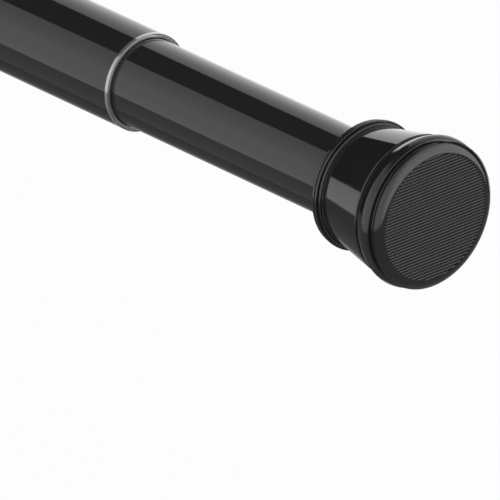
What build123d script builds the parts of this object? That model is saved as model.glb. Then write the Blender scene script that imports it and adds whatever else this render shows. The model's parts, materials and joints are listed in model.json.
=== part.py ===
"""Spring tension rod: two telescoping steel tubes with a capped rubber pad at each end.

A lead screw fixed in the outer tube runs in a nut that turns with the inner tube, so turning
the inner tube lengthens the rod, and a coil spring behind the nut lets the end pads press on
the walls. The rod lies along +X, from the pad of the outer tube to the pad of the inner tube,
with +Z up. The origin is the centre of the outer tube's pad face. Sizes are in millimetres.
"""

import os
from math import radians, tan

from build123d import *

os.makedirs("parts", exist_ok=True)

# Tubes
OUTER_TUBE_RADIUS = 16.0
INNER_TUBE_RADIUS = 14.5
TUBE_WALL = 0.8
OUTER_TUBE_LENGTH = 636.5
TUBE_EDGE = 0.2
SHORTEST_EXPOSURE = 27.0
PULLED_OUT = 75.0
TRAVEL = 508.0

# Fits
RUNNING_FIT = 0.1
SCREW_FIT = 0.05
SEAT_FIT = 0.03
LOOSE_FIT = 0.2

# End cap, measured back from the pad face along the rod
CAP_LENGTH = 33.9
TUBE_SEAT = 12.0
BARREL_START = 10.6
BARREL_FRONT_RADIUS = 23.35
BARREL_ANGLE = 11.3
BARREL_RIM = 0.4
BARREL_ROUND = 0.12
BEAD_HEIGHT = 1.03
BEAD_WIDTH = 0.9
BEAD_ROUND = 0.4
BEAD_GAP = 0.15
BEAD_GAP_HEIGHT = 0.73
LIP_HEIGHT = 1.78
LIP_WIDTH = 0.85
LIP_ROUND = 0.3
LIP_GROOVE = 0.55
LIP_GROOVE_HEIGHT = 1.13
EDGE_HEIGHT = 1.48
EDGE_WIDTH = 0.95
EDGE_ROUND = 0.4
BORE_CHAMFER = 0.4
BOSS_RADIUS = 19.5
BOSS_POCKET_RADIUS = 13.0
CAP_WEB = 4.0
SNAP_GROOVE_DEPTH = 0.9
SNAP_GROOVE_START = 7.0
SNAP_GROOVE_WIDTH = 1.6

# Rubber pad
PAD_LENGTH = 10.5
PAD_WALL = 3.6
SHOULDER_FRONT_RADIUS = 22.5
SHOULDER_ROUND = 4.4
SHOULDER_END = 1.9
SHOULDER_REAR_RADIUS = 24.1
SHOULDER_EDGE = 0.2
PAD_GROOVE_START = 2.1
PAD_GROOVE_END = 3.4
PAD_GROOVE_RADIUS = 22.5
PAD_GROOVE_ROUND = 0.25
PAD_BEAD_START = 3.6
PAD_BEAD_RADIUS = 24.6
PAD_BEAD_ROUND = 1.0
HEEL_START = 6.4
HEEL_ROUND = 3.5
HEEL_REAR_RADIUS = 22.9
HEEL_EDGE = 0.3
RIB_PITCH = 1.0
RIB_GROOVE_WIDTH = 0.5
RIB_GROOVE_DEPTH = 0.35
RIB_FIELD_RADIUS = 19.7

# Bright collar on the outer tube's mouth, and the bushing that holds it and guides the inner tube
COLLAR_RADIUS = 16.35
COLLAR_WIDTH = 1.6
COLLAR_ROUND = 0.3
COLLAR_BORE = 15.25
BUSHING_FLANGE = 0.4
BUSHING_FLANGE_RADIUS = 15.97
BUSHING_CHAMFER = 0.5
BUSHING_SLEEVE = 14.0

# End plugs
PLUG_LENGTH = 26.0
PLUG_WALL = 1.8
PLUG_WEB = 4.0
PLUG_BOSS_RADIUS = 7.5
PLUG_RIBS = 6
PLUG_RIB_WIDTH = 1.6
PLUG_SOCKET_DEPTH = 10.5

# Cap screws
CAP_SCREW_RADIUS = 1.95
CAP_SCREW_HEAD_RADIUS = 4.0
CAP_SCREW_HEAD = 2.5
CAP_SCREW_LENGTH = 17.0
CROSS_WIDTH = 0.9
CROSS_DEPTH = 1.4

# Lead screw and what holds its two ends
SCREW_RADIUS = 4.0
SCREW_CHAMFER = 0.6
ANCHOR_PIN_RADIUS = 1.5
STOP_RADIUS = 6.0
STOP_WIDTH = 3.0
STOP_SCREW_RADIUS = 1.45
STOP_SCREW_HEAD_RADIUS = 2.8
STOP_SCREW_HEAD = 2.0
STOP_SCREW_LENGTH = 12.0
STOP_CLEARANCE = 2.0

# Nut, glide ring and clip, measured from the nut's rear end
END_ROOM = 4.0
JOURNAL_RADIUS = 11.0
NUT_TAIL = 1.4
CLIP_WIDTH = 1.2
CLIP_RADIUS = 12.6
CLIP_GROOVE_DEPTH = 1.0
CLIP_OPENING = 16.0
GLIDE_LENGTH = 9.4
GLIDE_FLUTES = 6
GLIDE_FLUTE_RADIUS = 0.8
NUT_FLANGE_RADIUS = 14.2
NUT_FLANGE = 3.0
NUT_IN_TUBE = 16.0
NUT_THREAD_LENGTH = 30.0
NUT_RELIEF_RADIUS = 5.2
SPRING_PILOT_RADIUS = 7.9
SPRING_PILOT = 3.0

# Keys that turn the nut with the inner tube and let it slide
COMPRESSION = 25.0
KEY_RADIUS = 1.5
KEY_INSET = 8.0
KEY_DEPTH = 3.4
STANDOFF_ROOM = 2.0

# Spring and its two seats
SPRING_LENGTH = 90.0
SPRING_RADIUS = 9.6
SPRING_WIRE_RADIUS = 1.25
SPRING_TURNS = 8.5
WASHER_RADIUS = 13.2
WASHER_WIDTH = 1.0
STOP_PLUG_LENGTH = 10.0
STOP_PLUG_BORE = 6.6

# Worked-out places along the rod
OUTER_BORE = OUTER_TUBE_RADIUS - TUBE_WALL
INNER_BORE = INNER_TUBE_RADIUS - TUBE_WALL
MOUTH = TUBE_SEAT + OUTER_TUBE_LENGTH
COLLAR_FRONT = MOUTH + COLLAR_WIDTH
EXPOSURE = SHORTEST_EXPOSURE + PULLED_OUT
ROD_LENGTH = COLLAR_FRONT + EXPOSURE + CAP_LENGTH

NUT_REAR = TUBE_SEAT + PLUG_LENGTH + END_ROOM + PULLED_OUT
CLIP_START = NUT_REAR + NUT_TAIL
GLIDE_START = CLIP_START + CLIP_WIDTH + RUNNING_FIT
NUT_FLANGE_START = GLIDE_START + GLIDE_LENGTH + RUNNING_FIT
SHANK_START = NUT_FLANGE_START + NUT_FLANGE
INNER_TUBE_START = SHANK_START + COMPRESSION + STANDOFF_ROOM
NUT_FRONT = INNER_TUBE_START + NUT_IN_TUBE
SPRING_START = NUT_FRONT + WASHER_WIDTH
SPRING_END = SPRING_START + SPRING_LENGTH
KEY_X = INNER_TUBE_START + KEY_INSET
SHANK_RADIUS = INNER_BORE - RUNNING_FIT
SLOT_FLOOR = INNER_TUBE_RADIUS - SEAT_FIT - KEY_DEPTH - LOOSE_FIT

SCREW_START = TUBE_SEAT + PLUG_LENGTH - PLUG_SOCKET_DEPTH
SCREW_END = NUT_FRONT + SPRING_PILOT + TRAVEL - PULLED_OUT + STOP_CLEARANCE
ANCHOR_X = TUBE_SEAT + PLUG_LENGTH - PLUG_SOCKET_DEPTH / 2
CAP_WEB_START = TUBE_SEAT - CAP_WEB


def rod_plane(start_x, inward):
    """Sketch plane with its X along the rod from start_x (inward is 1 or -1) and Y across it."""
    return Plane(origin=(start_x, 0, 0), x_dir=(inward, 0, 0), z_dir=(0, 0, 1))


def end_plane(start_x, facing):
    """Sketch plane square to the rod at start_x, facing 1 for +X or -1 for -X."""
    return Plane(origin=(start_x, 0, 0), x_dir=(0, 1, 0), z_dir=(facing, 0, 0))


def half_section(plane, outline):
    """Closed half section to turn about the rod. Each corner is (along, radius, rounding)."""
    corners = [(along, radius) for along, radius, rounding in outline]
    roundings = [rounding for along, radius, rounding in outline]
    with BuildSketch(plane) as section:
        with BuildLine():
            FilletPolyline(*corners, radius=roundings, close=True)
        make_face()
    return section.sketch


def save(piece, name):
    """Name a finished piece and write it."""
    piece.part.label = name
    export_step(piece.part, f"parts/{name}.step")


def make_cap(face_x, inward, tube_radius):
    """Moulded end cap: a flared barrel, a bead, a lip and an edge behind, and a boss for the pad."""
    bead_start = CAP_LENGTH - EDGE_WIDTH - LIP_GROOVE - LIP_WIDTH - BEAD_GAP - BEAD_WIDTH
    barrel_rear = BARREL_FRONT_RADIUS - (bead_start - BARREL_START) * tan(radians(BARREL_ANGLE))
    bead_end = bead_start + BEAD_WIDTH
    bead_radius = barrel_rear + BEAD_HEIGHT
    gap_radius = barrel_rear + BEAD_GAP_HEIGHT
    lip_start = bead_end + BEAD_GAP
    lip_end = lip_start + LIP_WIDTH
    lip_radius = barrel_rear + LIP_HEIGHT
    lip_groove_radius = barrel_rear + LIP_GROOVE_HEIGHT
    edge_start = lip_end + LIP_GROOVE
    edge_radius = barrel_rear + EDGE_HEIGHT
    groove_radius = BOSS_RADIUS - SNAP_GROOVE_DEPTH
    groove_end = SNAP_GROOVE_START + SNAP_GROOVE_WIDTH
    boss_front = PAD_WALL + SEAT_FIT
    hole_radius = CAP_SCREW_RADIUS + LOOSE_FIT
    bore_radius = tube_radius + SEAT_FIT
    with BuildPart() as cap:
        section = half_section(
            rod_plane(face_x, inward),
            [
                (BARREL_START, BARREL_FRONT_RADIUS, BARREL_RIM),
                (bead_start, barrel_rear, BARREL_ROUND),
                (bead_start, bead_radius, BEAD_ROUND),
                (bead_end, bead_radius, BEAD_ROUND / 2),
                (bead_end, gap_radius, 0),
                (lip_start, gap_radius, 0),
                (lip_start, lip_radius, LIP_ROUND),
                (lip_end, lip_radius, LIP_ROUND),
                (lip_end, lip_groove_radius, 0),
                (edge_start, lip_groove_radius, 0),
                (edge_start, edge_radius, LIP_ROUND / 2),
                (CAP_LENGTH, edge_radius, EDGE_ROUND),
                (CAP_LENGTH, bore_radius + BORE_CHAMFER, 0),
                (CAP_LENGTH - BORE_CHAMFER, bore_radius, 0),
                (TUBE_SEAT, bore_radius, 0),
                (TUBE_SEAT, hole_radius, 0),
                (CAP_WEB_START, hole_radius, 0),
                (CAP_WEB_START, BOSS_POCKET_RADIUS, 0),
                (boss_front, BOSS_POCKET_RADIUS, 0),
                (boss_front, BOSS_RADIUS, BORE_CHAMFER),
                (SNAP_GROOVE_START, BOSS_RADIUS, 0),
                (SNAP_GROOVE_START, groove_radius, 0),
                (groove_end, groove_radius, 0),
                (groove_end, BOSS_RADIUS, 0),
                (BARREL_START, BOSS_RADIUS, 0),
            ],
        )
        revolve(section, axis=Axis.X)
    return cap


def make_pad(face_x, inward):
    """Rubber pad snapped over the cap's boss: ribbed face, round shoulder, groove, bead and heel."""
    socket_radius = BOSS_RADIUS + RUNNING_FIT
    snap_radius = BOSS_RADIUS - SNAP_GROOVE_DEPTH + RUNNING_FIT
    snap_start = SNAP_GROOVE_START + RUNNING_FIT
    snap_end = SNAP_GROOVE_START + SNAP_GROOVE_WIDTH - RUNNING_FIT
    grooves = 2 * int(RIB_FIELD_RADIUS / RIB_PITCH)
    with BuildPart() as pad:
        section = half_section(
            rod_plane(face_x, inward),
            [
                (0, 0, 0),
                (0, SHOULDER_FRONT_RADIUS, SHOULDER_ROUND),
                (SHOULDER_END, SHOULDER_REAR_RADIUS, SHOULDER_EDGE),
                (PAD_GROOVE_START, PAD_GROOVE_RADIUS, PAD_GROOVE_ROUND),
                (PAD_GROOVE_END, PAD_GROOVE_RADIUS, PAD_GROOVE_ROUND),
                (PAD_BEAD_START, PAD_BEAD_RADIUS, PAD_BEAD_ROUND),
                (HEEL_START, PAD_BEAD_RADIUS, HEEL_ROUND),
                (PAD_LENGTH, HEEL_REAR_RADIUS, HEEL_EDGE),
                (PAD_LENGTH, socket_radius, 0),
                (snap_end, socket_radius, 0),
                (snap_end, snap_radius, 0),
                (snap_start, snap_radius, 0),
                (snap_start, socket_radius, 0),
                (PAD_WALL, socket_radius, 0),
                (PAD_WALL, 0, 0),
            ],
        )
        revolve(section, axis=Axis.X)
        with BuildSketch(end_plane(face_x, -inward)):
            with GridLocations(0, RIB_PITCH, 1, grooves):
                Rectangle(2 * RIB_FIELD_RADIUS, RIB_GROOVE_WIDTH)
            Circle(RIB_FIELD_RADIUS, mode=Mode.INTERSECT)
        extrude(amount=-RIB_GROOVE_DEPTH, mode=Mode.SUBTRACT)
    return pad


def make_plug(face_x, inward, bore_radius, socket_radius):
    """Ribbed plug in a tube's end; a socket_radius above 0 opens a socket for the lead screw."""
    plug_radius = bore_radius - SEAT_FIT
    plug_end = TUBE_SEAT + PLUG_LENGTH
    web_end = TUBE_SEAT + PLUG_WEB
    pilot_end = CAP_WEB_START + CAP_SCREW_LENGTH + LOOSE_FIT
    core_radius = plug_radius - PLUG_WALL
    with BuildPart() as plug:
        section = half_section(
            rod_plane(face_x, inward),
            [
                (TUBE_SEAT, 0, 0),
                (TUBE_SEAT, plug_radius, 0),
                (plug_end, plug_radius, 0),
                (plug_end, core_radius, 0),
                (web_end, core_radius, 0),
                (web_end, PLUG_BOSS_RADIUS, 0),
                (plug_end, PLUG_BOSS_RADIUS, 0),
                (plug_end, 0, 0),
            ],
        )
        revolve(section, axis=Axis.X)
        with BuildSketch(end_plane(face_x + inward * web_end, inward)):
            with PolarLocations((core_radius + PLUG_BOSS_RADIUS) / 2, PLUG_RIBS):
                Rectangle(core_radius - PLUG_BOSS_RADIUS + PLUG_WALL, PLUG_RIB_WIDTH)
        extrude(amount=PLUG_LENGTH - PLUG_WEB)
        with BuildSketch(end_plane(face_x + inward * TUBE_SEAT, inward)):
            Circle(CAP_SCREW_RADIUS + SCREW_FIT)
        extrude(amount=pilot_end - TUBE_SEAT, mode=Mode.SUBTRACT)
        if socket_radius > 0:
            with BuildSketch(end_plane(face_x + inward * plug_end, -inward)):
                Circle(socket_radius)
            extrude(amount=PLUG_SOCKET_DEPTH, mode=Mode.SUBTRACT)
            with BuildSketch(Plane.XY):
                with Locations((face_x + inward * ANCHOR_X, 0)):
                    Circle(ANCHOR_PIN_RADIUS + SEAT_FIT)
            extrude(amount=PLUG_BOSS_RADIUS, both=True, mode=Mode.SUBTRACT)
    return plug


def make_cap_screw(face_x, inward):
    """Pan-head screw through the cap's web into the plug."""
    head_front = CAP_WEB_START - CAP_SCREW_HEAD
    screw_end = CAP_WEB_START + CAP_SCREW_LENGTH
    with BuildPart() as screw:
        section = half_section(
            rod_plane(face_x, inward),
            [
                (head_front, 0, 0),
                (head_front, CAP_SCREW_HEAD_RADIUS, CAP_SCREW_HEAD / 2),
                (CAP_WEB_START, CAP_SCREW_HEAD_RADIUS, 0),
                (CAP_WEB_START, CAP_SCREW_RADIUS, 0),
                (screw_end - CAP_SCREW_RADIUS, CAP_SCREW_RADIUS, 0),
                (screw_end, 0, 0),
            ],
        )
        revolve(section, axis=Axis.X)
        with BuildSketch(end_plane(face_x + inward * head_front, inward)):
            Rectangle(CAP_SCREW_HEAD_RADIUS, CROSS_WIDTH)
            Rectangle(CROSS_WIDTH, CAP_SCREW_HEAD_RADIUS)
        extrude(amount=CROSS_DEPTH, mode=Mode.SUBTRACT)
    return screw


def make_tube(start_x, end_x, radius):
    """Plain tube with its sharp edges broken."""
    with BuildPart() as tube:
        section = half_section(
            Plane.XY,
            [
                (start_x, radius - TUBE_WALL, 0),
                (start_x, radius - TUBE_EDGE, 0),
                (start_x + TUBE_EDGE, radius, 0),
                (end_x - TUBE_EDGE, radius, 0),
                (end_x, radius - TUBE_EDGE, 0),
                (end_x, radius - TUBE_WALL, 0),
            ],
        )
        revolve(section, axis=Axis.X)
    return tube


# Outer tube, with the collar and bushing in its mouth
outer_tube = make_tube(TUBE_SEAT, MOUTH, OUTER_TUBE_RADIUS)
save(outer_tube, "outer_tube")

BUSHING_SEAT = COLLAR_FRONT - BUSHING_FLANGE
with BuildPart() as mouth_collar:
    section = half_section(
        Plane.XY,
        [
            (MOUTH, COLLAR_BORE, 0),
            (MOUTH, COLLAR_RADIUS, COLLAR_ROUND / 2),
            (COLLAR_FRONT, COLLAR_RADIUS, COLLAR_ROUND),
            (COLLAR_FRONT, BUSHING_FLANGE_RADIUS + SEAT_FIT, 0),
            (BUSHING_SEAT, BUSHING_FLANGE_RADIUS + SEAT_FIT, 0),
            (BUSHING_SEAT, COLLAR_BORE, 0),
        ],
    )
    revolve(section, axis=Axis.X)
save(mouth_collar, "mouth_collar")

BUSHING_BORE = INNER_TUBE_RADIUS + RUNNING_FIT
with BuildPart() as mouth_bushing:
    section = half_section(
        Plane.XY,
        [
            (MOUTH - BUSHING_SLEEVE, BUSHING_BORE, 0),
            (MOUTH - BUSHING_SLEEVE, OUTER_BORE - SEAT_FIT, 0),
            (BUSHING_SEAT, OUTER_BORE - SEAT_FIT, 0),
            (BUSHING_SEAT, BUSHING_FLANGE_RADIUS, 0),
            (COLLAR_FRONT, BUSHING_FLANGE_RADIUS, 0),
            (COLLAR_FRONT, BUSHING_BORE + BUSHING_CHAMFER, 0),
            (COLLAR_FRONT - BUSHING_CHAMFER, BUSHING_BORE, 0),
        ],
    )
    revolve(section, axis=Axis.X)
save(mouth_bushing, "mouth_bushing")

# Outer end: plug, cap, pad and screw
save(make_plug(0, 1, OUTER_BORE, SCREW_RADIUS + SEAT_FIT), "outer_end_plug")
save(make_cap(0, 1, OUTER_TUBE_RADIUS), "outer_end_cap")
save(make_pad(0, 1), "outer_end_pad")
save(make_cap_screw(0, 1), "outer_cap_screw")

# Lead screw, pinned in the outer plug, with a stop at its free end
with BuildPart() as lead_screw:
    section = half_section(
        Plane.XY,
        [
            (SCREW_START, 0, 0),
            (SCREW_START, SCREW_RADIUS - SCREW_CHAMFER, 0),
            (SCREW_START + SCREW_CHAMFER, SCREW_RADIUS, 0),
            (SCREW_END - SCREW_CHAMFER, SCREW_RADIUS, 0),
            (SCREW_END, SCREW_RADIUS - SCREW_CHAMFER, 0),
            (SCREW_END, 0, 0),
        ],
    )
    revolve(section, axis=Axis.X)
    with BuildSketch(Plane.XY):
        with Locations((ANCHOR_X, 0)):
            Circle(ANCHOR_PIN_RADIUS + SEAT_FIT)
    extrude(amount=SCREW_RADIUS, both=True, mode=Mode.SUBTRACT)
    with BuildSketch(end_plane(SCREW_END, -1)):
        Circle(STOP_SCREW_RADIUS + SCREW_FIT)
    extrude(amount=STOP_SCREW_LENGTH, mode=Mode.SUBTRACT)
save(lead_screw, "lead_screw")

with BuildPart() as screw_anchor_pin:
    with BuildSketch(Plane.XY):
        with Locations((ANCHOR_X, 0)):
            Circle(ANCHOR_PIN_RADIUS)
    extrude(amount=PLUG_BOSS_RADIUS, both=True)
save(screw_anchor_pin, "screw_anchor_pin")

with BuildPart() as screw_end_stop:
    with BuildSketch(end_plane(SCREW_END, 1)):
        Circle(STOP_RADIUS)
        Circle(STOP_SCREW_RADIUS + LOOSE_FIT, mode=Mode.SUBTRACT)
    extrude(amount=STOP_WIDTH)
save(screw_end_stop, "screw_end_stop")

STOP_FRONT = SCREW_END + STOP_WIDTH
with BuildPart() as stop_screw:
    section = half_section(
        Plane.XY,
        [
            (STOP_FRONT + STOP_SCREW_HEAD, 0, 0),
            (STOP_FRONT + STOP_SCREW_HEAD, STOP_SCREW_HEAD_RADIUS, STOP_SCREW_HEAD / 2),
            (STOP_FRONT, STOP_SCREW_HEAD_RADIUS, 0),
            (STOP_FRONT, STOP_SCREW_RADIUS, 0),
            (STOP_FRONT - STOP_SCREW_LENGTH, STOP_SCREW_RADIUS, 0),
            (STOP_FRONT - STOP_SCREW_LENGTH, 0, 0),
        ],
    )
    revolve(section, axis=Axis.X)
save(stop_screw, "stop_screw")

# Nut: journal with a clip groove, flange, slotted shank and spring pilot
with BuildPart() as screw_nut:
    section = half_section(
        Plane.XY,
        [
            (NUT_REAR, SCREW_RADIUS + SCREW_FIT, 0),
            (NUT_REAR, JOURNAL_RADIUS, 0),
            (CLIP_START, JOURNAL_RADIUS, 0),
            (CLIP_START, JOURNAL_RADIUS - CLIP_GROOVE_DEPTH, 0),
            (CLIP_START + CLIP_WIDTH, JOURNAL_RADIUS - CLIP_GROOVE_DEPTH, 0),
            (CLIP_START + CLIP_WIDTH, JOURNAL_RADIUS, 0),
            (NUT_FLANGE_START, JOURNAL_RADIUS, 0),
            (NUT_FLANGE_START, NUT_FLANGE_RADIUS, 0),
            (SHANK_START, NUT_FLANGE_RADIUS, 0),
            (SHANK_START, SHANK_RADIUS, 0),
            (NUT_FRONT, SHANK_RADIUS, 0),
            (NUT_FRONT, SPRING_PILOT_RADIUS, 0),
            (NUT_FRONT + SPRING_PILOT, SPRING_PILOT_RADIUS, SPRING_PILOT / 4),
            (NUT_FRONT + SPRING_PILOT, NUT_RELIEF_RADIUS, 0),
            (NUT_REAR + NUT_THREAD_LENGTH, NUT_RELIEF_RADIUS, 0),
            (NUT_REAR + NUT_THREAD_LENGTH, SCREW_RADIUS + SCREW_FIT, 0),
        ],
    )
    revolve(section, axis=Axis.X)
    with BuildSketch(Plane.XY.offset(SLOT_FLOOR)):
        with Locations((KEY_X - COMPRESSION / 2, 0)):
            SlotCenterToCenter(COMPRESSION, 2 * (KEY_RADIUS + LOOSE_FIT))
    key_slot = extrude(amount=KEY_DEPTH, mode=Mode.SUBTRACT)
    mirror(key_slot, about=Plane.XY, mode=Mode.SUBTRACT)
save(screw_nut, "screw_nut")

with BuildPart() as glide_ring:
    with BuildSketch(end_plane(GLIDE_START, 1)):
        Circle(OUTER_BORE - RUNNING_FIT)
        Circle(JOURNAL_RADIUS + RUNNING_FIT, mode=Mode.SUBTRACT)
        with PolarLocations(OUTER_BORE - RUNNING_FIT, GLIDE_FLUTES):
            Circle(GLIDE_FLUTE_RADIUS, mode=Mode.SUBTRACT)
    extrude(amount=GLIDE_LENGTH)
save(glide_ring, "glide_ring")

with BuildPart() as retaining_clip:
    with BuildSketch(end_plane(CLIP_START + SEAT_FIT, 1)):
        Circle(CLIP_RADIUS)
        Circle(JOURNAL_RADIUS - CLIP_GROOVE_DEPTH + SEAT_FIT, mode=Mode.SUBTRACT)
        with Locations((CLIP_RADIUS, 0)):
            Rectangle(CLIP_RADIUS, CLIP_OPENING, mode=Mode.SUBTRACT)
    extrude(amount=CLIP_WIDTH - 2 * SEAT_FIT)
save(retaining_clip, "retaining_clip")

# Spring between the nut's washer and the stop plug in the inner tube
with BuildPart() as spring_washer:
    with BuildSketch(end_plane(NUT_FRONT, 1)):
        Circle(WASHER_RADIUS)
        Circle(SPRING_PILOT_RADIUS + LOOSE_FIT, mode=Mode.SUBTRACT)
    extrude(amount=WASHER_WIDTH)
save(spring_washer, "spring_washer")

with BuildPart() as tension_spring:
    with BuildLine():
        coil = Helix(
            SPRING_LENGTH / SPRING_TURNS,
            SPRING_LENGTH,
            SPRING_RADIUS,
            center=(SPRING_START, 0, 0),
            direction=(1, 0, 0),
        )
    with BuildSketch(Plane(origin=coil @ 0, z_dir=coil % 0)):
        Circle(SPRING_WIRE_RADIUS)
    sweep(is_frenet=True)
    split(bisect_by=end_plane(SPRING_START, 1), keep=Keep.TOP)
    split(bisect_by=end_plane(SPRING_END, -1), keep=Keep.TOP)
save(tension_spring, "tension_spring")

with BuildPart() as spring_stop:
    section = half_section(
        Plane.XY,
        [
            (SPRING_END - SPRING_PILOT, STOP_PLUG_BORE, 0),
            (SPRING_END - SPRING_PILOT, SPRING_PILOT_RADIUS, SPRING_PILOT / 6),
            (SPRING_END, SPRING_PILOT_RADIUS, 0),
            (SPRING_END, INNER_BORE - SEAT_FIT, 0),
            (SPRING_END + STOP_PLUG_LENGTH, INNER_BORE - SEAT_FIT, 0),
            (SPRING_END + STOP_PLUG_LENGTH, STOP_PLUG_BORE, 0),
        ],
    )
    revolve(section, axis=Axis.X)
save(spring_stop, "spring_stop")

# Inner tube, with the two keys flush in its wall
INNER_TUBE_END = ROD_LENGTH - TUBE_SEAT
with BuildPart() as inner_tube:
    add(make_tube(INNER_TUBE_START, INNER_TUBE_END, INNER_TUBE_RADIUS).part)
    with BuildSketch(Plane.XY):
        with Locations((KEY_X, 0)):
            Circle(KEY_RADIUS + SEAT_FIT)
    extrude(amount=INNER_TUBE_RADIUS, both=True, mode=Mode.SUBTRACT)
save(inner_tube, "inner_tube")

KEY_TOP = INNER_TUBE_RADIUS - SEAT_FIT
with BuildPart() as nut_keys:
    with BuildSketch(Plane.XY.offset(KEY_TOP)):
        with Locations((KEY_X, 0)):
            Circle(KEY_RADIUS)
    key = extrude(amount=-KEY_DEPTH)
    mirror(key, about=Plane.XY)
save(nut_keys, "nut_keys")

# Inner end: plug, cap, pad and screw
save(make_plug(ROD_LENGTH, -1, INNER_BORE, 0), "inner_end_plug")
save(make_cap(ROD_LENGTH, -1, INNER_TUBE_RADIUS), "inner_end_cap")
save(make_pad(ROD_LENGTH, -1), "inner_end_pad")
save(make_cap_screw(ROD_LENGTH, -1), "inner_cap_screw")
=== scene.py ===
"""Spring tension rod, dressed for a studio picture: gloss-black tubes, flared end caps with
ribbed rubber pads, a bright ring in the outer tube's mouth, and the screw and spring inside.

All lengths are in metres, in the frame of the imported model: +X along the rod, +Z up.
"""

import json
import math

import bmesh
import bpy
from mathutils import Matrix, Vector


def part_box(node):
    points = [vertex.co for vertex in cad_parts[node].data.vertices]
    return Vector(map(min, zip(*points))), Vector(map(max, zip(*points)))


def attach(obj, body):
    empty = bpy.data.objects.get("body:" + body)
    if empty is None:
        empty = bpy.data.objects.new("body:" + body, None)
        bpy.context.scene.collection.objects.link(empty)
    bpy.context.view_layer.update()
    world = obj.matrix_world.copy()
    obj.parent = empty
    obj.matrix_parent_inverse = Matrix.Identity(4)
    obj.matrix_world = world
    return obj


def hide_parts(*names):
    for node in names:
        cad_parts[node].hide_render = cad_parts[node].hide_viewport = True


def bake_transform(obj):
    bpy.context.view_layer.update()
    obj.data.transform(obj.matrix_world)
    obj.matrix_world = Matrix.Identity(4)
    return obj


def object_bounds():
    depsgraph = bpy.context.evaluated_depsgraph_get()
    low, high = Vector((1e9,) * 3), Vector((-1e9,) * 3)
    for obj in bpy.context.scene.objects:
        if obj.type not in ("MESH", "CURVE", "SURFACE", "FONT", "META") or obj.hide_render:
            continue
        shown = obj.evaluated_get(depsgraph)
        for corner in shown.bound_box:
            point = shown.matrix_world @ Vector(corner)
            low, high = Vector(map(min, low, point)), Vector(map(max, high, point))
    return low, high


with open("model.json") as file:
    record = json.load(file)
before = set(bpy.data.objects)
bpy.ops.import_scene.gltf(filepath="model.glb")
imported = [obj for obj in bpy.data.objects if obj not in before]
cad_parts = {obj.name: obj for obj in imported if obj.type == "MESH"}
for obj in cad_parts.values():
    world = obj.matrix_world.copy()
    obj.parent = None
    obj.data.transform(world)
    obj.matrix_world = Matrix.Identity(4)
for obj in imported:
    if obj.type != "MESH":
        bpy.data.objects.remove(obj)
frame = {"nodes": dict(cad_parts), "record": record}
cad_low, cad_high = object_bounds()
nodes = frame["nodes"]
scene = bpy.context.scene

MM = 0.001

# Camera: the photograph's viewing angle and framing
CAMERA_AZIMUTH = math.radians(49.8)
CAMERA_ELEVATION = math.radians(25.02)
CAMERA_ROLL = math.radians(1.35)
CAMERA_LENS = 1600.0
CAMERA_REACH = (0.1, 60.0)
SENSOR = 36.0
PICTURE_PIXELS = 500
METRES_PER_PIXEL = 0.3062 * MM
PAD_FACE_PIXEL = (435.3, 217.2)

# Lamp
KEY_PLACE = (1.4, -1.6, 2.2)
KEY_AIM = (0.4, 0, 0)
KEY_SIZE = 2.0
KEY_WATTS = 12.0

# Floor: how far it lies under the rod, how far it reaches, its paint, and how much of it the
# camera sees as plain white
FLOOR_DROP = 0.30
FLOOR_REACH = 30.0
FLOOR_PAINT = (0.95, 0.95, 0.95, 1)
FLOOR_WHITE_SHARE = 0.9

# Studio, as the gloss surfaces see it. A direction is (x, y, z) with length 1: x along the rod
# to the inner tube's pad, y to the picture's right, z up. Rear is -x, front is +x. A FADE is
# the stretch, as (start, end), over which one value gives way to the next.
STUDIO_TILT = math.radians(1.72)

# Dark gap round the rear: its edge's angle from -x, level with the rod and overhead
REAR_GAP = math.radians(22.7)
REAR_GAP_LEFT = math.radians(28.5)
REAR_GAP_RIGHT = math.radians(30.2)
REAR_GAP_FADE = (-0.02, 0.02)

# Dark gap on the right: its two edges' angles from +x
SIDE_GAP = (math.radians(70.0), math.radians(94.0))
SIDE_GAP_SOFT = math.radians(2.0)

# Rear softbox: its brightness on the left, then on the right from the gap's side outwards, and
# the share of it that is left overhead
BOX_LEFT = 1.66
BOX_RIGHT = (1.8, 0.92)
BOX_RIGHT_FADE = (math.radians(45), math.radians(80))
BOX_MIDDLE_FADE = (-0.05, 0.05)
BOX_TOP = 0.65
BOX_TOP_FADE = (0.25, 0.66)

# Front softbox: its brightness from left to right, and the share of it that is left overhead
BOX_FRONT = (1.85, 3.0)
BOX_FRONT_FADE = (-0.2, 0.1)
BOX_FRONT_TOP = 0.3
BOX_FRONT_TOP_FADE = (0.35, 0.95)

# Where the rear softbox gives way to the front one, and the share of both left at the zenith
REAR_TO_FRONT_FADE = (0.0, 0.5)
ZENITH = 0.1
ZENITH_FADE = (0.8, 0.95)

# Grey floor under the softboxes: its brightness in the rear gap, at the rear and in front, and
# the height of its edge
GROUND_GAP = 0.2
GROUND_REAR = 0.43
GROUND_FRONT = 0.36
GROUND_FADE = (-0.4, 0.4)
HORIZON_REAR = -0.257
HORIZON_MIDDLE = -0.385
HORIZON_FRONT = -0.29
HORIZON_REAR_FADE = (-0.9, -0.4)
HORIZON_FRONT_FADE = (0.2, 0.5)

# Rubber pad, as (distance behind its face, radius, rounding), in millimetres
PAD_OUTLINE = (
    (0, 20.4, 0),
    (0, 22.5, 4.4),
    (1.75, 24.0, 0.5),
    (2.2, 22.75, 0.3),
    (3.55, 22.75, 0.3),
    (3.85, 24.1, 0.35),
    (5.2, 24.6, 4.0),
    (6.5, 24.6, 2.6),
    (10.5, 22.9, 0.3),
    (10.5, 19.6, 0),
    (3.6, 19.6, 0),
)
PAD_CREASE = math.radians(50)

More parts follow.
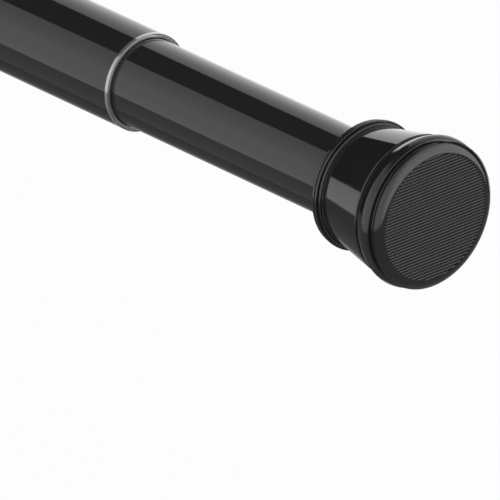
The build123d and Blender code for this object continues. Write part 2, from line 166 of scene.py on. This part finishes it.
# Half a rib, from its middle, as (part of the pitch, depth in millimetres)
RIB_PROFILE = (
    (0, 0),
    (0.08, 0.01),
    (0.16, 0.042),
    (0.23, 0.09),
    (0.27, 0.40),
    (0.34, 0.40),
    (0.42, 0.40),
    (0.5, 0.40),
)
RIB_PITCH = 1.0 * MM

# How far the grooves' ends slope up to the edge of the rib field, and half the shortest rib
RIB_END = 0.15 * MM
SHORTEST_HALF_RIB = 4 * RIB_END

# Mouth of the outer tube, as (distance behind the bright ring's front, radius, rounding), in
# millimetres
RING_SETBACK = 0.25 * MM
RING_OUTLINE = (
    (1.25, 16.06, 0.08),
    (0, 16.06, 0.1),
    (0, 15.72, 0.08),
    (0.25, 15.64, 0),
    (0, 15.56, 0.15),
    (0, 14.65, 0.2),
    (1.25, 14.65, 0),
)
SLEEVE_OUTLINE = (
    (1.3, 14.65, 0),
    (1.3, 15.15, 0),
    (15.6, 15.15, 0),
    (15.6, 14.65, 0),
)

# Tubes, in millimetres
TUBE_WALL = 0.8
TUBE_EDGE = 0.15

# Lead screw thread and tension spring
THREAD_STARTS = 4
THREAD_LEAD = 10.0 * MM
THREAD_DEPTH = 0.8 * MM
SPRING_TURNS = 8.5
WIRE_RADIUS = 1.25 * MM

# Fineness and shading
ARC_STEP = math.radians(9.0)
TURNED_SIDES = 144
THREAD_STEPS = 5
THREAD_SIDES = 20
SPRING_STEPS = 32
WIRE_SIDES = 12
CREASE = math.radians(35)
COIL_CREASE = math.radians(60)

# The stretch of a value that runs from 0 to 1
FULL = (0.0, 1.0)


def new_object(name, mesh):
    """Link a mesh to the scene under a name."""
    piece = bpy.data.objects.new(name, mesh)
    scene.collection.objects.link(piece)
    return piece


def new_mesh(name, points, faces):
    """Link a mesh made of points and faces, with all its faces turned outwards."""
    mesh = bpy.data.meshes.new(name)
    mesh.from_pydata(points, [], faces)
    shape = bmesh.new()
    shape.from_mesh(mesh)
    bmesh.ops.recalc_face_normals(shape, faces=shape.faces)
    shape.to_mesh(mesh)
    shape.free()
    return new_object(name, mesh)


def smooth(piece, crease=CREASE):
    """Shade a piece smooth, with its sharp edges kept."""
    for face in piece.data.polygons:
        face.use_smooth = True
    piece.data.set_sharp_from_angle(angle=crease)


# Node trees and materials


class Nodes:
    """A node tree, with short calls for the few kinds of node used here."""

    def __init__(self, tree):
        self.tree = tree

    def join(self, value, socket):
        """Link another node's output to a socket, or set the socket to a plain value."""
        if isinstance(value, bpy.types.NodeSocket):
            self.tree.links.new(value, socket)
        else:
            socket.default_value = value

    def add(self, kind, **inputs):
        """Add a node with inputs filled in; underscores stand for spaces in their names."""
        node = self.tree.nodes.new(kind)
        for name, value in inputs.items():
            self.join(value, node.inputs[name.replace("_", " ")])
        return node

    def calculate(self, operation, first, second=0.0):
        """Result of a calculation with one or two values."""
        node = self.add("ShaderNodeMath")
        node.operation = operation
        self.join(first, node.inputs[0])
        self.join(second, node.inputs[1])
        return node.outputs["Value"]

    def multiply(self, first, second):
        """Product of two values."""
        return self.calculate("MULTIPLY", first, second)

    def fade(self, value, stretch, at_start, at_end):
        """Go from at_start to at_end while a value crosses a stretch, given as (start, end)."""
        start, end = stretch
        node = self.add("ShaderNodeMapRange", Value=value, From_Min=start, From_Max=end)
        self.join(at_start, node.inputs["To Min"])
        self.join(at_end, node.inputs["To Max"])
        return node.outputs["Result"]


class Shader(Nodes):
    """A new material, with short calls for its textures and its surface."""

    def __init__(self, name):
        self.material = bpy.data.materials.new(name)
        self.material.use_nodes = True
        super().__init__(self.material.node_tree)
        self.surface = self.tree.nodes["Principled BSDF"]

    def set(self, **values):
        """Set the surface's own sockets; underscores stand for spaces."""
        for name, value in values.items():
            self.join(value, self.surface.inputs[name.replace("_", " ")])

    def position(self, scale=(1, 1, 1)):
        """Object coordinates, scaled."""
        place = self.add("ShaderNodeTexCoord")
        scaled = self.add("ShaderNodeMapping", Vector=place.outputs["Object"], Scale=scale)
        return scaled.outputs["Vector"]

    def noise(self, vector, scale, detail=3.0):
        """Noise value between 0 and 1."""
        node = self.add("ShaderNodeTexNoise", Vector=vector, Scale=scale, Detail=detail)
        return node.outputs["Fac"]

    def shade(self, value, dark, light):
        """Blend two colours by a value and give the surface that colour."""
        ramp = self.add("ShaderNodeValToRGB", Fac=value)
        ramp.color_ramp.elements[0].color = (*dark, 1)
        ramp.color_ramp.elements[1].color = (*light, 1)
        self.set(Base_Color=ramp.outputs["Color"])

    def polish(self, value, low, high):
        """Let the surface's roughness vary from low to high by a value."""
        self.set(Roughness=self.fade(value, FULL, low, high))

    def bump(self, height, strength, distance):
        """Bump the surface by a height value; distance is in metres."""
        node = self.add("ShaderNodeBump", Height=height, Strength=strength, Distance=distance)
        self.set(Normal=node.outputs["Normal"])


def tube_enamel():
    """Gloss black enamel on steel, with a faint flow texture along the tube."""
    s = Shader("tube_enamel")
    s.set(IOR=1.5)
    cloud = s.noise(s.position((6, 60, 60)), scale=1.0, detail=2.0)
    s.shade(cloud, dark=(0.0151, 0.0152, 0.0155), light=(0.0175, 0.0175, 0.0178))
    s.polish(s.noise(s.position(), scale=90.0), low=0.045, high=0.075)
    flow = s.noise(s.position((120, 420, 420)), scale=1.0, detail=1.0)
    s.bump(flow, strength=0.05, distance=0.02 * MM)
    return s.material


def cap_plastic():
    """Gloss black moulded plastic."""
    s = Shader("cap_plastic")
    s.set(IOR=1.53)
    cloud = s.noise(s.position(), scale=60.0, detail=2.0)
    s.shade(cloud, dark=(0.0125, 0.0125, 0.0128), light=(0.0143, 0.0143, 0.0146))
    s.polish(s.noise(s.position(), scale=140.0), low=0.04, high=0.065)
    s.bump(s.noise(s.position(), scale=260.0, detail=1.0), strength=0.04, distance=0.02 * MM)
    return s.material


def pad_rubber():
    """Satin charcoal rubber with a very fine moulded grain."""
    s = Shader("pad_rubber")
    s.set(IOR=1.5)
    cloud = s.noise(s.position(), scale=150.0, detail=4.0)
    s.shade(cloud, dark=(0.0118, 0.0118, 0.0121), light=(0.0138, 0.0138, 0.0141))
    s.polish(s.noise(s.position(), scale=700.0), low=0.09, high=0.13)
    s.bump(s.noise(s.position(), scale=5200.0, detail=3.0), strength=0.05, distance=0.03 * MM)
    return s.material


def bright_ring():
    """Satin bright plating, finely turned."""
    s = Shader("bright_ring")
    s.set(Metallic=0.76)
    turned = s.noise(s.position((4000, 20, 20)), scale=1.0, detail=2.0)
    s.shade(turned, dark=(0.36, 0.36, 0.37), light=(0.42, 0.42, 0.43))
    s.polish(turned, low=0.10, high=0.16)
    return s.material


def bushing_plastic():
    """Black polished nylon."""
    s = Shader("bushing_plastic")
    s.set(IOR=1.53)
    grain = s.noise(s.position(), scale=500.0, detail=2.0)
    s.shade(grain, dark=(0.0110, 0.0110, 0.0113), light=(0.0132, 0.0132, 0.0135))
    s.polish(grain, low=0.10, high=0.16)
    return s.material


def plug_plastic():
    """Dark moulded nylon."""
    s = Shader("plug_plastic")
    grain = s.noise(s.position(), scale=900.0, detail=3.0)
    s.shade(grain, dark=(0.026, 0.026, 0.027), light=(0.036, 0.036, 0.037))
    s.polish(grain, low=0.42, high=0.55)
    s.bump(grain, strength=0.15, distance=0.05 * MM)
    return s.material


def nut_plastic():
    """Natural acetal, slightly waxy."""
    s = Shader("nut_plastic")
    grain = s.noise(s.position(), scale=400.0, detail=3.0)
    s.shade(grain, dark=(0.70, 0.70, 0.66), light=(0.78, 0.78, 0.74))
    s.polish(grain, low=0.32, high=0.42)
    return s.material


def zinc_steel():
    """Zinc-plated steel with a faint crystalline patchiness."""
    s = Shader("zinc_steel")
    s.set(Metallic=1.0)
    patch = s.noise(s.position(), scale=500.0, detail=4.0)
    s.shade(patch, dark=(0.52, 0.53, 0.55), light=(0.66, 0.67, 0.68))
    s.polish(patch, low=0.24, high=0.40)
    return s.material


def spring_steel():
    """Oiled, drawn spring wire."""
    s = Shader("spring_steel")
    s.set(Metallic=1.0)
    drawn = s.noise(s.position((60, 900, 900)), scale=1.0, detail=3.0)
    s.shade(drawn, dark=(0.24, 0.24, 0.26), light=(0.34, 0.34, 0.36))
    s.polish(drawn, low=0.22, high=0.36)
    return s.material


MATERIALS = {
    make.__name__: make()
    for make in (
        tube_enamel,
        cap_plastic,
        pad_rubber,
        bright_ring,
        bushing_plastic,
        plug_plastic,
        nut_plastic,
        zinc_steel,
        spring_steel,
    )
}


def dress(piece, material):
    """Give a piece one material in place of any it had."""
    piece.data.materials.clear()
    piece.data.materials.append(material)


# New pieces


def rounded(corners):
    """Points of a closed outline, whose corners are (along, radius, rounding) in millimetres."""
    points = []
    for index, (along, radius, rounding) in enumerate(corners):
        here = Vector((along, radius))
        if rounding == 0:
            points.append(here)
            continue
        before = Vector(corners[index - 1][:2]) - here
        after = Vector(corners[(index + 1) % len(corners)][:2]) - here
        turn = math.pi - before.angle(after)
        start = here + before.normalized() * rounding * math.tan(turn / 2)
        bisector = (before.normalized() + after.normalized()).normalized()
        centre = here + bisector * rounding / math.cos(turn / 2)
        steps = max(2, math.ceil(turn / ARC_STEP))
        way = 1 if (start - centre).cross(here - centre) > 0 else -1
        for step in range(steps + 1):
            angle = way * turn * step / steps
            points.append(centre + Matrix.Rotation(angle, 2) @ (start - centre))
    return [(point.x * MM, point.y * MM) for point in points]


def angles(sides):
    """Angles of the corners of a regular shape with this many sides."""
    return [2 * math.pi * side / sides for side in range(sides)]


def ring_faces(rings, sides, closed=False):
    """Faces between rings of points, and from the last ring to the first one if closed."""
    faces = []
    for ring in range(rings if closed else rings - 1):
        here = ring * sides
        following = (ring + 1) % rings * sides
        for side in range(sides):
            beside = (side + 1) % sides
            faces.append((here + side, here + beside, following + beside, following + side))
    return faces


def end_faces(rings, sides):
    """One face on the first ring of points and one on the last."""
    last = (rings - 1) * sides
    return [tuple(range(sides)), tuple(range(last, last + sides))]


def rib_rows(edge):
    """Rows across the rib field, as (place across the ribs, depth under the pad's face)."""
    reach = math.sqrt(edge**2 - SHORTEST_HALF_RIB**2)
    count = int(edge / RIB_PITCH)
    mirrored = [(-part, depth) for part, depth in reversed(RIB_PROFILE[1:-1])]
    rows = []
    for rib in range(-count, count + 1):
        rows += [((rib + part) * RIB_PITCH, depth * MM) for part, depth in [*mirrored, *RIB_PROFILE]]
    rows = [row for row in rows if abs(row[0]) <= reach]
    return [(-reach, 0), *rows, (reach, 0)]


def make_pad(node, face_x, inward):
    """Rubber pad: a turned body whose front is a round field of straight ribs, one in the middle."""
    edge = PAD_OUTLINE[0][1] * MM
    # Once round the rib field: up the ribs' ends at +y, and down the other ends at -y
    rim = [(math.sqrt(edge**2 - z**2), z, depth) for z, depth in rib_rows(edge)]
    rim += [(-y, z, depth) for y, z, depth in reversed(rim)]
    sides = len(rim)
    # The field's own ring of points, then the rings of the turned body, and the hollow's middle
    points = [(face_x + inward * depth, y - math.copysign(RIB_END, y), z) for y, z, depth in rim]
    for along, radius in rounded(PAD_OUTLINE):
        points += [(face_x + inward * along, y * radius / edge, z * radius / edge) for y, z, _ in rim]
    rings = len(points) // sides
    middle = len(points)
    points.append((face_x + inward * PAD_OUTLINE[-1][0] * MM, 0, 0))

    faces = ring_faces(rings, sides)
    field = slice(len(faces), len(faces) + sides // 2 - 1)
    faces += [(row, sides - 1 - row, sides - 2 - row, row + 1) for row in range(sides // 2 - 1)]
    last = (rings - 1) * sides
    faces += [(last + side, last + (side + 1) % sides, middle) for side in range(sides)]

    pad = new_mesh(node + "_ribbed", points, faces)
    smooth(pad, PAD_CREASE)
    rib_ends = pad.data.polygons[:sides]
    for face in [*rib_ends, *pad.data.polygons[field]]:
        face.use_smooth = False
    return pad


def make_turned(name, outline, start_x):
    """Ring or tube: a closed outline turned about the rod's axis, from start_x backwards."""
    corners = rounded(outline)
    points = []
    for along, radius in corners:
        for angle in angles(TURNED_SIDES):
            points.append((start_x - along, radius * math.cos(angle), radius * math.sin(angle)))
    piece = new_mesh(name, points, ring_faces(len(corners), TURNED_SIDES, closed=True))
    smooth(piece)
    return piece


def make_tube(node, front):
    """Tube with fine sides, from the CAD tube's rear end to a given front."""
    low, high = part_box(node)
    length = (front - low.x) / MM
    radius = high.y / MM
    outline = (
        (0, radius, TUBE_EDGE),
        (0, radius - TUBE_WALL, 0),
        (length, radius - TUBE_WALL, 0),
        (length, radius, TUBE_EDGE),
    )
    return make_turned(node + "_turned", outline, front)


def make_thread():
    """Lead screw with rounded multi-start threads along its whole length."""
    low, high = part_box("lead_screw")
    pitch = THREAD_LEAD / THREAD_STARTS
    steps = int((high.x - low.x) / pitch) * THREAD_STEPS
    points = []
    for step in range(steps + 1):
        x = low.x + (high.x - low.x) * step / steps
        for angle in angles(THREAD_SIDES):
            phase = 2 * math.pi * (x - low.x) / pitch - THREAD_STARTS * angle
            radius = high.y - THREAD_DEPTH * (1 + math.cos(phase)) / 2
            points.append((x, radius * math.cos(angle), radius * math.sin(angle)))
    faces = end_faces(steps + 1, THREAD_SIDES) + ring_faces(steps + 1, THREAD_SIDES)
    thread = new_mesh("lead_screw_thread", points, faces)
    smooth(thread, COIL_CREASE)
    return thread


def make_spring():
    """Round-wire coil spring with its ends ground flat."""
    low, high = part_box("tension_spring")
    coil = high.z - WIRE_RADIUS
    steps = int(SPRING_TURNS * SPRING_STEPS)
    slope = (high.x - low.x) / (SPRING_TURNS * 2 * math.pi * coil)
    points = []
    for step in range(steps + 1):
        turn = 2 * math.pi * SPRING_TURNS * step / steps
        outward = Vector((0, math.cos(turn), math.sin(turn)))
        along = Vector((slope, -math.sin(turn), math.cos(turn))).normalized()
        across = outward.cross(along)
        centre = Vector((low.x + (high.x - low.x) * step / steps, 0, 0)) + outward * coil
        for angle in angles(WIRE_SIDES):
            point = centre + (outward * math.cos(angle) + across * math.sin(angle)) * WIRE_RADIUS
            point.x = min(max(point.x, low.x), high.x)
            points.append(point)
    faces = end_faces(steps + 1, WIRE_SIDES) + ring_faces(steps + 1, WIRE_SIDES)
    spring = new_mesh("tension_spring_wire", points, faces)
    smooth(spring, COIL_CREASE)
    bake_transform(spring)
    return spring


def stand_for(piece, node, slot):
    """Let a new piece stand for a CAD node, with the material of the record's slot."""
    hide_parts(node)
    dress(piece, MATERIALS[slot])


outer_pad = make_pad("outer_end_pad", cad_low.x, 1)
stand_for(outer_pad, "outer_end_pad", "pad_rubber")
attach(outer_pad, "outer")

inner_pad = make_pad("inner_end_pad", cad_high.x, -1)
stand_for(inner_pad, "inner_end_pad", "pad_rubber")
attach(inner_pad, "inner")

ring_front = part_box("mouth_collar")[1].x - RING_SETBACK
bright_band = make_turned("mouth_collar_turned", RING_OUTLINE, ring_front)
stand_for(bright_band, "mouth_collar", "bright_ring")
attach(bright_band, "outer")

sleeve = make_turned("mouth_bushing_turned", SLEEVE_OUTLINE, ring_front)
stand_for(sleeve, "mouth_bushing", "bushing_plastic")
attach(sleeve, "outer")

ring_width = RING_OUTLINE[0][0] * MM
wide_tube = make_tube("outer_tube", ring_front - ring_width)
stand_for(wide_tube, "outer_tube", "tube_enamel")
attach(wide_tube, "outer")

thin_tube = make_tube("inner_tube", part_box("inner_tube")[1].x)
stand_for(thin_tube, "inner_tube", "tube_enamel")
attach(thin_tube, "inner")

screw_thread = make_thread()
stand_for(screw_thread, "lead_screw", "zinc_steel")
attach(screw_thread, "outer")

stand_for(make_spring(), "tension_spring", "spring_steel")

for row in frame["record"]["subparts"]:
    dress(nodes[row["node"]], MATERIALS[row["material_slot"]])
    smooth(nodes[row["node"]])


# Stage: a white floor that keeps a soft shadow, and the studio round it


def floor_white():
    """White paint that shows its shadows to the camera, with a share of plain white mixed in."""
    material = bpy.data.materials.new("floor_white")
    material.use_nodes = True
    material.node_tree.nodes.clear()
    s = Nodes(material.node_tree)
    paint = s.add("ShaderNodeBsdfDiffuse", Color=FLOOR_PAINT)
    glow = s.add("ShaderNodeEmission", Strength=1.0)
    seen = s.add("ShaderNodeLightPath")
    share = s.multiply(seen.outputs["Is Camera Ray"], FLOOR_WHITE_SHARE)
    mix = s.add("ShaderNodeMixShader", Fac=share)
    s.join(paint.outputs["BSDF"], mix.inputs[1])
    s.join(glow.outputs["Emission"], mix.inputs[2])
    s.add("ShaderNodeOutputMaterial", Surface=mix.outputs["Shader"])
    return material


def make_floor():
    """Wide pale floor under the rod, nearly white to the camera, with the rod's soft shadow on it."""
    low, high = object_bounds()
    middle = (low + high) / 2
    level = low.z - FLOOR_DROP
    sides = ((-1, -1), (1, -1), (1, 1), (-1, 1))
    corners = [(middle.x + x * FLOOR_REACH, middle.y + y * FLOOR_REACH, level) for x, y in sides]
    mesh = bpy.data.meshes.new("floor")
    mesh.from_pydata(corners, [], [(0, 1, 2, 3)])
    floor = new_object("floor", mesh)
    floor.data.materials.append(floor_white())
    floor.visible_glossy = False


def rear_gap(s, from_rear, y, z):
    """0 in the dark gap round the rear, 1 beside it."""
    overhead = s.fade(y, REAR_GAP_FADE, REAR_GAP_LEFT, REAR_GAP_RIGHT)
    return s.calculate("GREATER_THAN", from_rear, s.fade(z, FULL, REAR_GAP, overhead))


def side_gap(s, x, y):
    """0 in the dark gap on the right, 1 on both sides of it, with soft edges."""
    from_front = s.calculate("ARCTAN2", y, x)
    start, end = [(edge - SIDE_GAP_SOFT, edge + SIDE_GAP_SOFT) for edge in SIDE_GAP]
    before = s.fade(from_front, start, 1.0, 0.0)
    past = s.fade(from_front, end, 0.0, 1.0)
    return s.calculate("MAXIMUM", before, past)


def softboxes(s, from_rear, x, y, z):
    """Brightness of the rear and the front softbox, which darken overhead."""
    right = s.fade(from_rear, BOX_RIGHT_FADE, *BOX_RIGHT)
    rear = s.fade(y, BOX_MIDDLE_FADE, BOX_LEFT, right)
    rear = s.multiply(rear, s.fade(z, BOX_TOP_FADE, 1.0, BOX_TOP))
    front = s.fade(y, BOX_FRONT_FADE, *BOX_FRONT)
    front = s.multiply(front, s.fade(z, BOX_FRONT_TOP_FADE, 1.0, BOX_FRONT_TOP))
    both = s.fade(x, REAR_TO_FRONT_FADE, rear, front)
    return s.multiply(both, s.fade(z, ZENITH_FADE, 1.0, ZENITH))


def above_horizon(s, x, z):
    """1 above the grey floor's edge, 0 below it."""
    horizon = s.fade(x, HORIZON_REAR_FADE, HORIZON_REAR, HORIZON_MIDDLE)
    horizon = s.fade(x, HORIZON_FRONT_FADE, horizon, HORIZON_FRONT)
    return s.calculate("GREATER_THAN", z, horizon)


def make_world():
    """White surround. Gloss surfaces see softboxes with two dark gaps, over a grey floor."""
    world = bpy.data.worlds.new("studio")
    scene.world = world
    world.use_nodes = True
    world.node_tree.nodes.clear()
    s = Nodes(world.node_tree)

    place = s.add("ShaderNodeTexCoord")
    tilt = s.add("ShaderNodeMapping", Vector=place.outputs["Generated"], Rotation=(STUDIO_TILT, 0, 0))
    split = s.add("ShaderNodeSeparateXYZ", Vector=tilt.outputs["Vector"])
    x, y, z = split.outputs["X"], split.outputs["Y"], split.outputs["Z"]
    from_rear = s.calculate("ARCTAN2", s.calculate("ABSOLUTE", y), s.multiply(x, -1.0))

    past_rear_gap = rear_gap(s, from_rear, y, z)
    outside_gaps = s.multiply(past_rear_gap, side_gap(s, x, y))
    ground = s.fade(past_rear_gap, FULL, GROUND_GAP, s.fade(x, GROUND_FADE, GROUND_REAR, GROUND_FRONT))
    boxes = s.multiply(softboxes(s, from_rear, x, y, z), outside_gaps)
    studio = s.fade(above_horizon(s, x, z), FULL, ground, boxes)

    seen = s.add("ShaderNodeLightPath")
    strength = s.fade(seen.outputs["Is Glossy Ray"], FULL, 1.0, studio)
    background = s.add("ShaderNodeBackground", Strength=strength)
    s.add("ShaderNodeOutputWorld", Surface=background.outputs["Background"])


def make_camera():
    """Long lens at the photograph's angle, framed by where the near pad's centre falls."""
    sin_a, cos_a = math.sin(CAMERA_AZIMUTH), math.cos(CAMERA_AZIMUTH)
    sin_e, cos_e = math.sin(CAMERA_ELEVATION), math.cos(CAMERA_ELEVATION)
    back = Vector((sin_a * cos_e, -cos_a * cos_e, sin_e))
    level = Vector((cos_a, sin_a, 0))
    upright = back.cross(level)
    right = level * math.cos(CAMERA_ROLL) - upright * math.sin(CAMERA_ROLL)
    up = back.cross(right)
    pad_centre = Vector((cad_high.x, 0, 0))
    half_picture = PICTURE_PIXELS / 2
    across = (PAD_FACE_PIXEL[0] - half_picture) * METRES_PER_PIXEL
    down = (PAD_FACE_PIXEL[1] - half_picture) * METRES_PER_PIXEL
    target = pad_centre - right * across + up * down
    distance = CAMERA_LENS / SENSOR * PICTURE_PIXELS * METRES_PER_PIXEL
    camera = bpy.data.objects.new("camera", bpy.data.cameras.new("camera"))
    scene.collection.objects.link(camera)
    camera.data.lens = CAMERA_LENS
    camera.data.sensor_width = SENSOR
    camera.data.clip_start, camera.data.clip_end = CAMERA_REACH
    camera.location = target + back * distance
    camera.rotation_euler = Matrix((right, up, back)).transposed().to_euler()
    scene.camera = camera


def make_lamp():
    """Soft square lamp, for the shading and the floor's shadow; gloss surfaces don't see it."""
    light = bpy.data.lights.new("key", "AREA")
    light.size = KEY_SIZE
    light.energy = KEY_WATTS
    lamp = bpy.data.objects.new("key", light)
    lamp.location = KEY_PLACE
    lamp.rotation_euler = (Vector(KEY_PLACE) - Vector(KEY_AIM)).to_track_quat("Z", "Y").to_euler()
    lamp.visible_glossy = False
    scene.collection.objects.link(lamp)


make_camera()
make_world()
make_floor()
make_lamp()

scene.view_settings.view_transform = "Standard"
